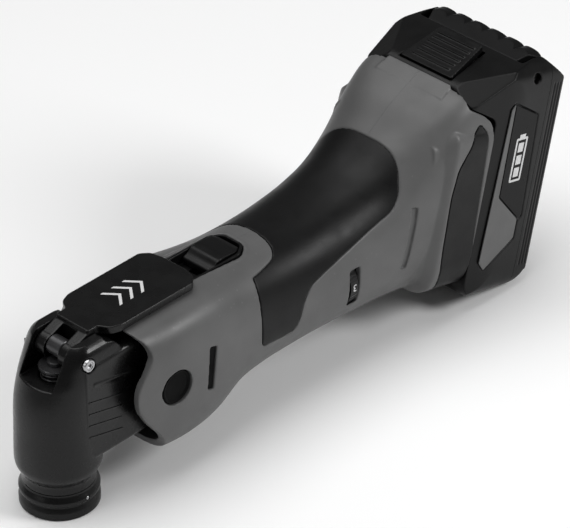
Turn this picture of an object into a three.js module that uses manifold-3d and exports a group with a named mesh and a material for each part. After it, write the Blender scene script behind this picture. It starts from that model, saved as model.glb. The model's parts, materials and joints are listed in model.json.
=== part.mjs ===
// A cordless oscillating multi-tool with a quick-release clamp lever and a slide-on battery.
// Millimetres, +Z up. The origin is on the spindle axis at the flat end of the tool clamp,
// the handle runs along +Y and +X points to the side that carries the speed dial.
import * as THREE from "three";
import { mergeVertices } from "three/addons/utils/BufferGeometryUtils.js";
import { ConvexGeometry } from "three/addons/geometries/ConvexGeometry.js";
import { ParametricGeometry } from "three/addons/geometries/ParametricGeometry.js";
import Module from "manifold-3d";

const wasm = await Module();
wasm.setup();

// ---------- driving dimensions ----------
const GAP = 0.3; // clearance between neighbouring pieces
const WALL = 3.2; // housing wall
const SKIN = 1.5; // rubber and bumper thickness
const SLACK = 0.5; // clearance round what turns or slides
const FAR = 400; // longer than the tool, for cutting bodies

const HEAD = { half: 19, bottom: 12.5, boxBottom: 27, top: 76.8, cheekBack: 24, cheekInner: 10 };
const FORK = { floor: 66, back: 10.5, seat: 63.2 };
const PIVOT = { y: 2.9, z: 76.9, pin: 3, hub: 5.6 };
const SPINDLE = { radius: 7, bore: 5, bottom: 12.8, top: 60.2 };
const MOTOR = { z: 50, radius: 20, front: 72, back: 120, rotor: 11, shaft: 3 };
const ECCENTRIC = { offset: 0.9, radius: 2.6, bearing: 7.5 };
const DIAL = { x: 14.4, y: 155.4, z: 46, radius: 15, width: 4.6 };
const SWITCH = { front: 69.5, back: 109, half: 9.4, floor: 76 };
const LEVER = { bottom: 83.3, top: 87, half: 16.5, armInner: 4.2, armOuter: 9.6 };
const PACK = { lean: 13.5, y: 218.5, half: 37.4, split: 33, tower: 24, towerFront: -15.7 };
const CELL = { radius: 9.1, length: 65, pitch: 18.9, first: 26, columns: [12.2, 31] };
const SOCKET = { y: 43.4, z: 50.3, radius: 8.2 };

// The body's outline at stations along the handle: y, half width, top, bottom and the power of
// its superellipse, where 2 is an ellipse and more is squarer.
const STATIONS = [
  { y: 10, half: 26.5, top: 82.8, bottom: 23, power: 4.5 },
  { y: 25, half: 28, top: 82.8, bottom: 17.5, power: 4.5 },
  { y: 42, half: 30, top: 82.8, bottom: 14.3, power: 4.2 },
  { y: 58, half: 30.3, top: 82.8, bottom: 13.6, power: 4 },
  { y: 72, half: 29.8, top: 82.6, bottom: 15.2, power: 3.6 },
  { y: 88, half: 28.6, top: 81.8, bottom: 19.8, power: 2.8 },
  { y: 105, half: 28.3, top: 80.8, bottom: 20.5, power: 2.4 },
  { y: 125, half: 28.6, top: 80.2, bottom: 20.5, power: 2.3 },
  { y: 145, half: 29.2, top: 81, bottom: 20, power: 2.3 },
  { y: 165, half: 30.2, top: 83.6, bottom: 19, power: 2.35 },
  { y: 182, half: 31.6, top: 88.6, bottom: 18, power: 2.45 },
  { y: 198, half: 33, top: 97.5, bottom: 17.5, power: 2.95 },
  { y: 212, half: 34.2, top: 106.2, bottom: 18, power: 4.2 },
  { y: 228, half: 35, top: 112.5, bottom: 19, power: 6.2 },
  { y: 262, half: 35.6, top: 116, bottom: 20, power: 6.2 },
];

// The head's plan outline at heights on the column: half width, the middle of its round front
// and how far the front reaches ahead of that middle.
const COLUMN = [
  { z: 12.5, half: 16.3, middle: 0, reach: 16.3 },
  { z: 16.6, half: 16.4, middle: 0, reach: 16.4 },
  { z: 18.6, half: 17.5, middle: 0, reach: 17.5 },
  { z: 21, half: 18.7, middle: 0, reach: 18.7 },
  { z: 24, half: 19.2, middle: 0, reach: 19.2 },
  { z: 40, half: 19, middle: 0, reach: 18.8 },
  { z: 55, half: 18.8, middle: 0, reach: 17.8 },
  { z: 66, half: 18.7, middle: 1.5, reach: 15.6 },
  { z: 72, half: 18.5, middle: 3, reach: 14 },
  { z: 78.5, half: 17.9, middle: 4, reach: 11.2 },
  { z: 82.3, half: 16.4, middle: 5, reach: 10.6 },
  { z: 84.3, half: 14.2, middle: 5.5, reach: 9.4 },
];

// ---------- helpers ----------
const at = (x, y) => new THREE.Vector2(x, y);

// A closed geometry as a solid that can be joined and cut.
function solid(geometry) {
  const plain = geometry.index ? geometry.toNonIndexed() : geometry.clone();
  for (const name of Object.keys(plain.attributes)) {
    if (name !== "position") plain.deleteAttribute(name);
  }
  const merged = mergeVertices(plain, 1e-4);
  const index = merged.index.array;
  const triVerts = [];
  for (let i = 0; i < index.length; i += 3) {
    const corners = [index[i], index[i + 1], index[i + 2]];
    if (new Set(corners).size === 3) triVerts.push(...corners);
  }
  return new wasm.Manifold(
    new wasm.Mesh({
      numProp: 3,
      vertProperties: merged.attributes.position.array,
      triVerts: new Uint32Array(triVerts),
    }),
  );
}

function geometryOf(body) {
  const mesh = body.getMesh();
  const geometry = new THREE.BufferGeometry();
  geometry.setAttribute("position", new THREE.BufferAttribute(new Float32Array(mesh.vertProperties), 3));
  geometry.setIndex(new THREE.BufferAttribute(new Uint32Array(mesh.triVerts), 1));
  geometry.computeVertexNormals();
  return geometry;
}

const join = (first, ...others) => others.reduce((body, other) => body.add(other), first);
const cut = (first, ...others) => others.reduce((body, other) => body.subtract(other), first);

function box([x0, x1], [y0, y1], [z0, z1]) {
  const geometry = new THREE.BoxGeometry(x1 - x0, y1 - y0, z1 - z0);
  return solid(geometry.translate((x0 + x1) / 2, (y0 + y1) / 2, (z0 + z1) / 2));
}

// Cylinders along one axis, from one place on it to another, round the other two coordinates.
function alongX(radius, [x0, x1], y, z, sides = 22) {
  const geometry = new THREE.CylinderGeometry(radius, radius, x1 - x0, sides);
  return solid(geometry.rotateZ(Math.PI / 2).translate((x0 + x1) / 2, y, z));
}
function alongY(radius, [y0, y1], x, z, sides = 22) {
  const geometry = new THREE.CylinderGeometry(radius, radius, y1 - y0, sides);
  return solid(geometry.translate(x, (y0 + y1) / 2, z));
}
function alongZ(radius, [z0, z1], x, y, sides = 22) {
  const geometry = new THREE.CylinderGeometry(radius, radius, z1 - z0, sides);
  return solid(geometry.rotateX(Math.PI / 2).translate(x, y, (z0 + z1) / 2));
}

// A profile of [radius, height] points turned about Z.
function turned(profile, sides = 32) {
  const points = profile.map(([radius, height]) => at(radius, height));
  return solid(new THREE.LatheGeometry(points, sides).rotateX(Math.PI / 2));
}

// A closed outline whose corners are rounded by up to the given radius.
function outline(corners, radius = 0) {
  const shape = new THREE.Shape();
  const points = corners.map(([x, y]) => at(x, y));
  points.forEach((corner, i) => {
    const before = points[(i + points.length - 1) % points.length];
    const after = points[(i + 1) % points.length];
    const reach = Math.min(radius, corner.distanceTo(before) / 2.1, corner.distanceTo(after) / 2.1);
    const start = corner.clone().lerp(before, reach / corner.distanceTo(before));
    const end = corner.clone().lerp(after, reach / corner.distanceTo(after));
    if (i === 0) shape.moveTo(start.x, start.y);
    else shape.lineTo(start.x, start.y);
    if (reach > 0) shape.quadraticCurveTo(corner.x, corner.y, end.x, end.y);
  });
  shape.closePath();
  return shape;
}

function extruded(shape, depth, bevel, curveSegments) {
  const edge = { bevelEnabled: bevel > 0, bevelSize: bevel, bevelThickness: bevel, bevelOffset: -bevel };
  const geometry = new THREE.ExtrudeGeometry(shape, {
    depth: depth - 2 * bevel,
    bevelSegments: 1,
    curveSegments,
    ...edge,
  });
  return geometry.translate(0, 0, bevel);
}

// Prisms of an outline seen from the side (y, z), from above (x, y) and from the front (x, z).
function sidePrism(corners, [x0, x1], radius = 0, bevel = 0, curveSegments = 2) {
  const turn = new THREE.Matrix4().set(0, 0, 1, x0, 1, 0, 0, 0, 0, 1, 0, 0, 0, 0, 0, 1);
  return solid(extruded(outline(corners, radius), x1 - x0, bevel, curveSegments).applyMatrix4(turn));
}
function planPrism(corners, [z0, z1], radius = 0, bevel = 0, curveSegments = 2) {
  return solid(extruded(outline(corners, radius), z1 - z0, bevel, curveSegments).translate(0, 0, z0));
}
function frontPrism(corners, [y0, y1], radius = 0, bevel = 0, curveSegments = 2) {
  const turn = new THREE.Matrix4().set(1, 0, 0, 0, 0, 0, -1, y1, 0, 1, 0, 0, 0, 0, 0, 1);
  return solid(extruded(outline(corners, radius), y1 - y0, bevel, curveSegments).applyMatrix4(turn));
}

// An outline given on the +X side, completed on the other side.
function mirrored(corners) {
  const others = corners.filter(([x]) => x !== 0).map(([x, y]) => [-x, y]);
  return [...corners, ...others.reverse()];
}
const bothSides = ([a, b]) => [[a, b], [-b, -a]];

// An outline whose edges all move inwards by the given distance.
function inset(corners, distance) {
  const points = corners.map(([x, y]) => at(x, y));
  const inwards = THREE.ShapeUtils.isClockWise(points) ? -1 : 1;
  return points.map((point, i) => {
    const before = point.clone().sub(points[(i + points.length - 1) % points.length]).normalize();
    const after = points[(i + 1) % points.length].clone().sub(point).normalize();
    const [left, right] = [before, after].map((edge) => at(-edge.y, edge.x).multiplyScalar(inwards));
    const moved = point.addScaledVector(left.add(right), distance / (1 + before.dot(after)));
    return [moved.x, moved.y];
  });
}

// A smooth value of the body's outline at a place along the handle.
function bodyAt(y) {
  const last = STATIONS.length - 2;
  const next = STATIONS.findIndex((station) => station.y > y);
  const i = next < 0 ? last : Math.min(Math.max(next - 1, 0), last);
  const [p1, p2] = [STATIONS[i], STATIONS[i + 1]];
  const [p0, p3] = [STATIONS[Math.max(i - 1, 0)], STATIONS[Math.min(i + 2, last + 1)]];
  const t = THREE.MathUtils.clamp((y - p1.y) / (p2.y - p1.y), 0, 1);
  const blend = (name) => {
    const rise = p2.y - p1.y;
    const m1 = ((p2[name] - p0[name]) / (p2.y - p0.y)) * rise;
    const m2 = ((p3[name] - p1[name]) / (p3.y - p1.y)) * rise;
    const a = 2 * p1[name] - 2 * p2[name] + m1 + m2;
    const b = -3 * p1[name] + 3 * p2[name] - 2 * m1 - m2;
    return ((a * t + b) * t + m1) * t + p1[name];
  };
  return { half: blend("half"), top: blend("top"), bottom: blend("bottom"), power: blend("power") };
}

// The body's outer form, shrunk by a distance, between two places along the handle.
function bodyForm(shrink, [y0, y1], rows = 15, sides = 24) {
  const around = (u, v, target) => {
    const row = Math.round(v * (rows + 2));
    const y = y0 + ((y1 - y0) * THREE.MathUtils.clamp(row - 1, 0, rows)) / rows;
    const { half, top, bottom, power } = bodyAt(y);
    const open = row > 0 && row < rows + 2 ? 1 : 0;
    const angle = u > 0.9999 ? 0 : -2 * Math.PI * u;
    const swell = (value) => open * Math.sign(value) * Math.abs(value) ** (2 / power);
    const x = (half - shrink) * swell(Math.cos(angle));
    const z = (top + bottom) / 2 + ((top - bottom) / 2 - shrink) * swell(Math.sin(angle));
    target.set(x, y, z);
  };
  return solid(new ParametricGeometry(around, sides, rows + 2));
}

// A coil spring along Z.
function coil(radius, wire, [z0, z1], turns) {
  class Helix extends THREE.Curve {
    getPoint(t, target = new THREE.Vector3()) {
      const angle = 2 * Math.PI * turns * t;
      const z = z0 + wire + (z1 - z0 - 2 * wire) * t;
      return target.set(radius * Math.cos(angle), radius * Math.sin(angle), z);
    }
  }
  const section = new THREE.Shape();
  section.absarc(0, 0, wire, 0, 2 * Math.PI);
  const steps = 9 * turns;
  return solid(new THREE.ExtrudeGeometry(section, { steps, extrudePath: new Helix(), curveSegments: 2 }));
}

function ringAlongY(outer, inner, range, x, z) {
  return cut(alongY(outer, range, x, z), alongY(inner, [-FAR, FAR], x, z));
}
function ringAlongZ(outer, inner, range) {
  return cut(alongZ(outer, range, 0, 0), alongZ(inner, [-FAR, FAR], 0, 0));
}

// ---------- materials and assembly ----------
const FINISH = {
  grey: { color: 0x6b6b6b, roughness: 0.5, metalness: 0 },
  rubber: { color: 0x181818, roughness: 0.7, metalness: 0 },
  black: { color: 0x141414, roughness: 0.45, metalness: 0 },
  coated: { color: 0x1a1a1b, roughness: 0.4, metalness: 0.3 },
  steel: { color: 0xb9bbbd, roughness: 0.3, metalness: 1 },
  copper: { color: 0xa8623a, roughness: 0.4, metalness: 0.9 },
  board: { color: 0x1c4a2c, roughness: 0.5, metalness: 0 },
  wrap: { color: 0x2d5f8a, roughness: 0.4, metalness: 0 },
};

const tool = new THREE.Group();
const pack = new THREE.Group();
pack.position.y = PACK.y;
pack.rotation.x = -THREE.MathUtils.degToRad(PACK.lean);
tool.add(pack);

function place(name, finish, body, group = tool) {
  const mesh = new THREE.Mesh(geometryOf(body), new THREE.MeshStandardMaterial(FINISH[finish]));
  mesh.name = name;
  group.add(mesh);
  return mesh;
}

// ---------- housing ----------
// Everything ahead of the shroud's waved front edge.
const SHROUD_EDGE = [
  [24.5, 84], [30, 76.5], [31.5, 71], [27.5, 65], [22, 57], [22, 47], [27, 38], [35, 28], [39, 20],
  [40, 10],
];
const GRIP_EDGE = [
  [99.8, 100], [99.8, 75], [98.4, 69.8], [97.3, 60], [97.6, 42.4], [104.3, 41.8], [118.2, 40.4],
  [121.4, 45.3], [123.8, 53.5], [128.5, 59.2], [139, 62], [156, 66.2], [180.9, 73.1], [186.4, 78.4],
  [192, 88.5], [194.4, 94], [194.8, 120], [112, 120],
];
const COLLAR_EDGE = [
  [20.1, 60], [20.1, 99.8], [18.4, 109.5], [17, 115.6], [13.5, 118.7], [8, 120], [0, 120.4],
];
const BUMPER_EDGE = [
  [236.5, 92.5], [231.6, 99.5], [223.4, 90], [216, 82.5], [211.3, 69.9], [206.1, 43.5], [204.6, 32],
  [203, 8], [232, 8], [226.6, 34], [227.5, 42],
];
const SIDE_SLOT = [[61.4, 39.6], [65.1, 38.2], [67.7, 59.8], [63.3, 61.2]];
// The step across the top of the rear rim, from the side and from the front.
const STEP_SIDE = [[221.6, 107.8], [221.6, 110.7], [230, 114.4], [230, 110]];
const STEP_FRONT = [[20.8, 90], [20.8, 108.3], [17.4, 118]];
// In the battery's leaning frame: the room for its hood from the side, and the rear flange from behind.
const HOOD_EDGE = [
  [-16.1, 160], [-16.1, 106.2], [-8, 102.75], [-2.6, 98.8], [-0.9, 96.2], [-0.3, 93.5], [60, 93.5],
  [60, 160],
];
const FLANGE_EDGE = [[26, 14.5], [33.5, 18.5], [36.4, 28], [36.4, 90], [34.9, 95.6], [29, 98.6], [18, 100]];
const FLANGE_ROWS = [
  { v: -34, wide: 0.85 },
  { v: -30, wide: 0.88 },
  { v: -27, wide: 0.95 },
  { v: -24, wide: 1 },
  { v: 4, wide: 1 },
];
const BOSSES = [[52, 20], [147.5, 31], [190, 28], [218.5, 97]];
const BOSS = { radius: 5, head: 3.2, seat: -18, hole: 1.5 };

// A body turned into the battery's leaning frame.
const leaned = (body) => body.rotate([-PACK.lean, 0, 0]).translate([0, PACK.y, 0]);

// The flange round the rear opening: its outline, growing from a narrow front edge.
function flangeForm(shrink) {
  const points = outline(inset(mirrored(FLANGE_EDGE), shrink), 4).getPoints(2).slice(0, -1).reverse();
  const middle = 56;
  const around = (u, v, target) => {
    const row = Math.round(v * (FLANGE_ROWS.length + 1));
    const { v: place, wide } = FLANGE_ROWS[THREE.MathUtils.clamp(row - 1, 0, FLANGE_ROWS.length - 1)];
    const point = points[Math.round(u * points.length) % points.length];
    const open = row > 0 && row < FLANGE_ROWS.length + 1 ? wide : 0;
    target.set(point.x * open, place, middle + (point.y - middle) * open);
  };
  return leaned(solid(new ParametricGeometry(around, points.length, FLANGE_ROWS.length + 1)));
}
const rearForm = (shrink) => join(bodyForm(shrink, [170, 262], 7), flangeForm(shrink));

// The rubber's region of the body's skin: the piece itself, or the recess it sits in.
function gripPiece() {
  const region = sidePrism(inset(GRIP_EDGE, GAP), [-FAR, FAR], 2);
  const collar = planPrism(mirrored(COLLAR_EDGE.map(([x, y]) => [x ? x + GAP : 0, y + GAP])), [55, FAR], 2);
  return cut(bodyForm(0, [60, 210], 9), bodyForm(SKIN, [50, 220], 10)).intersect(region).subtract(collar);
}
function gripRecess() {
  const region = sidePrism(GRIP_EDGE, [-FAR, FAR], 2);
  const collar = planPrism(mirrored(COLLAR_EDGE), [55, FAR], 2);
  return cut(region, bodyForm(SKIN + GAP, [60, 220], 10), collar);
}

function bumperPiece() {
  const region = sidePrism(inset(BUMPER_EDGE, GAP), [20, FAR], 2);
  const behind = leaned(box([-FAR, FAR], [-GAP, FAR], [-FAR, FAR]));
  return cut(rearForm(0), rearForm(SKIN), behind).intersect(region);
}
const bumperRecess = () => cut(sidePrism(BUMPER_EDGE, [20, FAR], 2), rearForm(SKIN + GAP));

function housingShell() {
  const front = sidePrism([...SHROUD_EDGE, [-40, 10], [-40, 84]], [-FAR, FAR], 4);
  const behind = leaned(box([-FAR, FAR], [0, FAR], [-FAR, FAR]));
  const tower = leaned(box([-PACK.tower - 0.6, PACK.tower + 0.6], [PACK.towerFront - 0.6, FAR], [20, FAR]));
  const hood = leaned(sidePrism(HOOD_EDGE, [-FAR, FAR]));
  const step = sidePrism(STEP_SIDE, [-FAR, FAR]).intersect(frontPrism(mirrored(STEP_FRONT), [200, 240]));
  let shell = cut(join(bodyForm(0, [11, 262]), flangeForm(0)), bodyForm(WALL, [5, 268]), flangeForm(WALL));
  shell = cut(join(shell, step), front, behind);
  const bosses = BOSSES.map(([y, z]) => alongX(BOSS.radius, [-27, 27], y, z, 16));
  shell = join(shell, ...bosses.map((boss) => boss.intersect(bodyForm(1, [11, 262]))));
  const windowHalf = SWITCH.half + 1;
  const windowPlan = mirrored([[windowHalf, SWITCH.front], [windowHalf, SWITCH.back - 6], [6, SWITCH.back]]);
  const window = planPrism(windowPlan, [70, 90], 2);
  const dialWindow = sidePrism([[152.3, 36.5], [158.5, 36.5], [158.5, 56], [152.3, 56]], [20, 40], 1);
  const wheel = [DIAL.y - DIAL.width / 2 - SLACK, DIAL.y + DIAL.width / 2 + SLACK];
  const wheelRoom = alongY(DIAL.radius + SLACK, wheel, DIAL.x, DIAL.z, 36);
  shell = cut(shell, tower, hood, gripRecess(), window, dialWindow, wheelRoom);
  for (const side of [-1, 1]) {
    const bumper = bumperRecess();
    shell = cut(shell, side > 0 ? bumper : bumper.mirror([1, 0, 0]));
    const socket = alongX(SOCKET.radius + GAP, side > 0 ? [20, 40] : [-40, -20], SOCKET.y, SOCKET.z);
    shell = cut(shell, socket, sidePrism(SIDE_SLOT, side > 0 ? [20, 40] : [-40, -20]));
  }
  return shell;
}

function addHousing() {
  const shell = housingShell();
  const screws = BOSSES.map(([y, z]) => alongX(BOSS.hole, [-25, 16], y, z, 12));
  const heads = BOSSES.map(([y, z]) => alongX(BOSS.head + GAP, [-50, BOSS.seat], y, z, 20));
  const leftHalf = shell.intersect(box([GAP / 2, FAR], [-FAR, FAR], [-FAR, FAR]));
  const rightHalf = shell.intersect(box([-FAR, -GAP / 2], [-FAR, FAR], [-FAR, FAR]));
  place("housing_left", "grey", cut(leftHalf, ...screws));
  place("housing_right", "grey", cut(rightHalf, ...screws, ...heads));
  place("rubber_grip", "rubber", gripPiece());
  place("side_bumper_left", "rubber", bumperPiece());
  place("side_bumper_right", "rubber", bumperPiece().mirror([1, 0, 0]));
}

function addHousingScrews() {
  BOSSES.forEach(([y, z], i) => {
    const shank = alongX(BOSS.hole - GAP, [BOSS.seat, 14], y, z, 12);
    const drive = alongX(1.4, [BOSS.seat - 4, BOSS.seat - 1], y, z, 6);
    const head = cut(alongX(BOSS.head, [BOSS.seat - 2.6, BOSS.seat + 0.01], y, z, 20), drive);
    place(`housing_screw_${i + 1}`, "steel", join(head, shank).translate([-GAP, 0, 0]));
  });
}

function addSocketPlugs() {
  for (const [name, side] of [["socket_plug_left", 1], ["socket_plug_right", -1]]) {
    const cap = alongX(SOCKET.radius, [23, 29.4], SOCKET.y, SOCKET.z);
    const flange = alongX(SOCKET.radius + 1.8, [22.8, 25], SOCKET.y, SOCKET.z);
    const recess = alongX(SOCKET.radius - 1.6, [28.6, 32], SOCKET.y, SOCKET.z);
    const plug = cut(join(cap, flange), recess);
    place(name, "black", side > 0 ? plug : plug.mirror([1, 0, 0]));
  }
}

// ---------- gear head ----------
// The round column and, above it, the cheeks with a round front and a straight back.
function columnForm(sides = 24) {
  const rows = COLUMN.length - 1;
  const around = (u, v, target) => {
    const row = Math.round(v * (rows + 2));
    const { z, half, middle, reach } = COLUMN[THREE.MathUtils.clamp(row - 1, 0, rows)];
    if (row === 0 || row === rows + 2) {
      target.set(0, middle, z);
      return;
    }
    const angle = u > 0.9999 ? 0 : 2 * Math.PI * u;
    const square = Math.sin(angle) > 0.001 && z > 60 ? 0.12 : 1;
    const back = z > 60 ? HEAD.cheekBack : middle + reach;
    const across = Math.sign(Math.cos(angle)) * Math.abs(Math.cos(angle)) ** square;
    const along = Math.sign(Math.sin(angle)) * Math.abs(Math.sin(angle)) ** square;
    target.set(half * across, middle + (along > 0 ? back - middle : reach) * along, z);
  };
  return solid(new ParametricGeometry(around, sides, rows + 2));
}

function addGearHead() {
  const { half, bottom, boxBottom, top, cheekInner } = HEAD;
  const rear = frontPrism(mirrored([[half, boxBottom], [half, top]]), [0, 57], 3);
  const stepDown = [[14.4, 90], [14.4, 82.6], [18.6, 81.4], [22.6, top], [70, top], [70, 90]];
  const notch = sidePrism(stepDown, [-FAR, FAR]);
  const slim = bodyForm(WALL + 0.4, [5, 70], 6);
  const rearEnd = box([-FAR, FAR], [24, FAR], [-FAR, FAR]);
  let head = cut(join(columnForm(), rear), notch);
  head = join(cut(head, rearEnd), head.intersect(rearEnd).intersect(slim));
  const flange = frontPrism(mirrored([[22, 30], [22, 70]]), [56.9, 63], 6).intersect(slim);
  const bore = alongZ(13.3, [16.5, 60.3], 0, 0);
  const gallery = box([-16.3, 16.3], [0, 57], [40, 60.2]);
  const foot = alongZ(8.4, [bottom - 5, 20], 0, 0);
  const cap = alongZ(5.5, [50, 70], 0, 0);
  const bearingSeat = alongY(8.8, [50, 70], 0, MOTOR.z);
  const fork = box([-cheekInner, cheekInner], [-30, FORK.back], [FORK.floor, 100]);
  const apron = box([-cheekInner, cheekInner], [FORK.back - 1, 30], [top, 100]);
  const springSeat = alongZ(7.2, [FORK.seat, 70], 0, 0);
  const pin = alongX(PIVOT.pin + GAP, [-30, 30], PIVOT.y, PIVOT.z);
  head = cut(join(head, flange), bore, gallery, foot, cap, bearingSeat, fork, apron, pin, springSeat);
  for (let i = 0; i < 4; i += 1) {
    const drop = 59 - 6.05 * i;
    const rib = [[1, drop], [1, drop - 0.6], [20.5, drop - 5.4], [20.5, drop - 4.8]].reverse();
    head = join(head, ...bothSides([half - 2, half + 0.3]).map((range) => sidePrism(rib, range)));
  }
  place("gear_head", "coated", head);
}

function addLever() {
  const { bottom, top, half, armInner, armOuter } = LEVER;
  const plan = [[armOuter, 10], [armOuter, 16], [14.6, 18.8], [half, 24], [half, 66.6], [13, 70.6], [6, 72]];
  const plate = planPrism(mirrored(plan), [bottom, top], 1.5, 0.7);
  const hub = alongX(PIVOT.hub, [-armOuter, armOuter], PIVOT.y, PIVOT.z);
  const arm = [
    [3, 82.6], [9.5, 85.2], [16, top], [26, top], [26, bottom],
    [19.5, bottom], [16.5, 77.8], [10, 77.3], [6, 75.2], [3, 74],
  ];
  const arms = join(sidePrism(arm.reverse(), [-armOuter, armOuter]), hub);
  const between = box([-armInner, armInner], [-20, 9.5], [60, 100]);
  const armTop = [[-10, 82.6], [3, 82.6], [9.5, 85.2], [16, 100], [-10, 100]];
  const overArms = sidePrism(armTop, [-armOuter, armOuter]);
  const pin = alongX(PIVOT.pin + GAP, [-30, 30], PIVOT.y, PIVOT.z);
  place("clamp_lever", "coated", cut(join(plate, arms), between, overArms, pin));
  const cam = alongX(4.4, [-armInner + 0.3, armInner - 0.3], PIVOT.y, PIVOT.z + 1.2, 24);
  place("lever_cam", "steel", cut(cam, pin));
  place("lever_pin", "steel", alongX(PIVOT.pin, [-18, 16.6], PIVOT.y, PIVOT.z));
  const screwHead = alongX(PIVOT.pin, [16.9, 18.4], PIVOT.y, PIVOT.z);
  place("lever_pin_screw", "steel", cut(screwHead, alongX(1.5, [17.6, 20], PIVOT.y, PIVOT.z, 6)));
}

// ---------- spindle, clamp and tool holder ----------
function addSpindle() {
  const { radius, bore, bottom, top } = SPINDLE;
  place("spindle", "steel", ringAlongZ(radius, bore, [bottom, top]));
  place("spindle_bearing_lower", "steel", ringAlongZ(13, radius + GAP, [17, 24]));
  place("spindle_bearing_upper", "steel", ringAlongZ(13, radius + GAP, [55.4, 60]));
  const rim = [[7.3, 5.8], [11, 5.8], [14.6, 0], [17.85, 0], [17.85, 3.6], [17, 5.9], [17, 6.6], [17.7, 7.2]];
  const neck = [[17.7, 9.2], [16.4, 11.2], [16.2, 12.2], [5.4, 12.2], [5.4, 5.8], [7.3, 5.8]];
  place("tool_holder", "coated", turned([...rim, ...neck]));
  const hub = alongZ(11.5, [45, 55], 0, 0);
  const prongs = bothSides([9.9, 13.2]).map((range) => box(range, [4, 29], [46, 54]));
  const web = box([-13.2, 13.2], [3, 11], [46, 54]);
  const hole = alongZ(radius + GAP, [40, 60], 0, 0);
  place("fork_arm", "steel", cut(join(hub, web, ...prongs), hole));
  const rod = alongZ(4.6, [2, 71], 0, 0);
  const clampHead = alongZ(6.4, [0, 4.4], 0, 0);
  const collar = alongZ(7.4, [69.2, 71], 0, 0);
  const button = alongZ(3.6, [70, 73.2], 0, 0);
  place("clamp_plunger", "steel", join(rod, clampHead, collar, button));
  place("clamp_spring", "steel", coil(6.2, 0.5, [FORK.seat + GAP, 68.9], 2));
}

// ---------- motor ----------
function addMotor() {
  const { z, radius, front, back, rotor, shaft } = MOTOR;
  const journal = alongY(ECCENTRIC.radius, [18, 31], 0, z + ECCENTRIC.offset, 20);
  place("motor_shaft", "steel", join(alongY(shaft, [30, 141.4], 0, z, 20), journal));
  const bearing = ringAlongY(ECCENTRIC.bearing, ECCENTRIC.radius + GAP, [20, 28], 0, z + ECCENTRIC.offset);
  place("eccentric_bearing", "steel", bearing);
  place("shaft_bearing_front", "steel", ringAlongY(8.5, shaft + GAP, [57.5, 62.5], 0, z));
  place("shaft_bearing_rear", "steel", ringAlongY(8, shaft + GAP, [136, 141], 0, z));
  place("motor_rotor", "steel", ringAlongY(rotor, shaft + GAP, [front + 4, back - 4], 0, z));
  const slots = [];
  for (let i = 0; i < 6; i += 1) {
    const slot = box([-2, 2], [front - 1, front + 3], [rotor + 2.5, radius - 2.5]);
    slots.push(slot.rotate([0, 60 * i, 0]).translate([0, 0, z]));
  }
  place("motor_stator", "copper", cut(ringAlongY(radius, rotor + 0.8, [front, back], 0, z), ...slots));
  const blades = [];
  for (let i = 0; i < 9; i += 1) {
    blades.push(box([-0.8, 0.8], [125, 131.6], [5, 16.8]).rotate([0, 40 * i, 0]).translate([0, 0, z]));
  }
  const disc = join(alongY(17, [123.6, 125.6], 0, z), alongY(6.4, [125, 132], 0, z), ...blades);
  place("motor_fan", "black", cut(disc, alongY(shaft + GAP, [100, 150], 0, z)));
  const cap = alongY(radius, [134.4, 142], 0, z);
  place("motor_cap", "black", cut(cap, alongY(8.3, [135.6, 150], 0, z), alongY(shaft + 1, [120, 150], 0, z)));
}

// ---------- switch, dial and electronics ----------
function addControls() {
  const { front, back, half, floor } = SWITCH;
  const trayPlan = mirrored([[half + 0.6, front + 0.4], [half + 0.6, back - 6.4], [5.8, back - 0.4]]);
  const wellPlan = mirrored([[half - 0.6, front + 1.6], [half - 0.6, back - 7], [5.2, back - 1.6]]);
  const stemSlot = box([-2.4, 2.4], [83, 100], [70, 90]);
  const tray = planPrism(trayPlan, [floor - 2, 81.6], 2);
  place("switch_tray", "black", cut(tray, planPrism(wellPlan, [floor, 90], 2), stemSlot));
  const thumb = [
    [85, 76.4], [106, 76.4], [106, 81.2], [103.5, 82.2], [95, 82.9], [90.5, 82.6], [88, 80.4], [85, 79.6],
  ];
  const thumbPlan = planPrism(inset(wellPlan, 0.4), [70, 90], 2);
  const ridge = sidePrism(thumb, [-8.3, 8.3], 0.8, 0.4).intersect(thumbPlan);
  place("slide_switch", "black", join(ridge, box([-1.9, 1.9], [92, 98.6], [73.2, 78])));
  place("microswitch", "black", box([-6, 6], [86, 104], [70.5, 72.9]));
  const wheel = alongY(DIAL.radius, [DIAL.y - DIAL.width / 2, DIAL.y + DIAL.width / 2], DIAL.x, DIAL.z, 36);
  place("speed_dial", "black", cut(wheel, alongY(2.8, [150, 160], DIAL.x, DIAL.z, 16)));
  const post = alongY(2.5, [153.4, 160], DIAL.x, DIAL.z, 16);
  place("dial_base", "black", join(box([6.4, 22.4], [158.4, 163], [38, 54]), post));
  const plate = box([-21, 21], [168, 200], [44, 46]);
  const chips = [-14, -5, 4, 13].map((x) => box([x - 2.5, x + 2.5], [172, 180], [45, 52]));
  const capacitor = alongY(6, [184, 197], 0, 52, 20);
  place("control_board", "board", join(plate, ...chips, capacitor, box([-4, 4], [184, 197], [45, 50])));
}

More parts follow.
